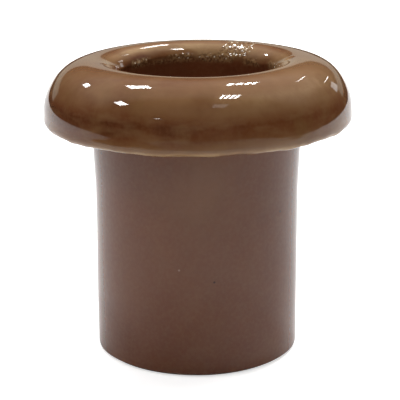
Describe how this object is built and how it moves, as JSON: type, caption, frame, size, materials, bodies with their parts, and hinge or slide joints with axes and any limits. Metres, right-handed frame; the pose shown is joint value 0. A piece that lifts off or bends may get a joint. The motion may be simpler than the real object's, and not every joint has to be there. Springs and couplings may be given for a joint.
{
  "type": "feed-through bushing",
  "caption": "Brown-glazed porcelain feed-through bushing: a short tube with a rolled flange that seats on a wall or panel, for a wire or cable to pass through insulated.",
  "frame": {"origin": "centre of the foot, on the axis of the bore", "axes": "+Z along the axis of the bore, from the foot to the flange and the mouth; X and Y are alike, because the part is round"},
  "size_m": [0.03, 0.03, 0.0292],
  "materials": {
    "bare_porcelain": "matte",
    "brown_glaze": "gloss"
  },
  "bodies": {
    "root": {"porcelain_body": "bare_porcelain", "glaze_coat": "brown_glaze"}
  },
  "joints": []
}
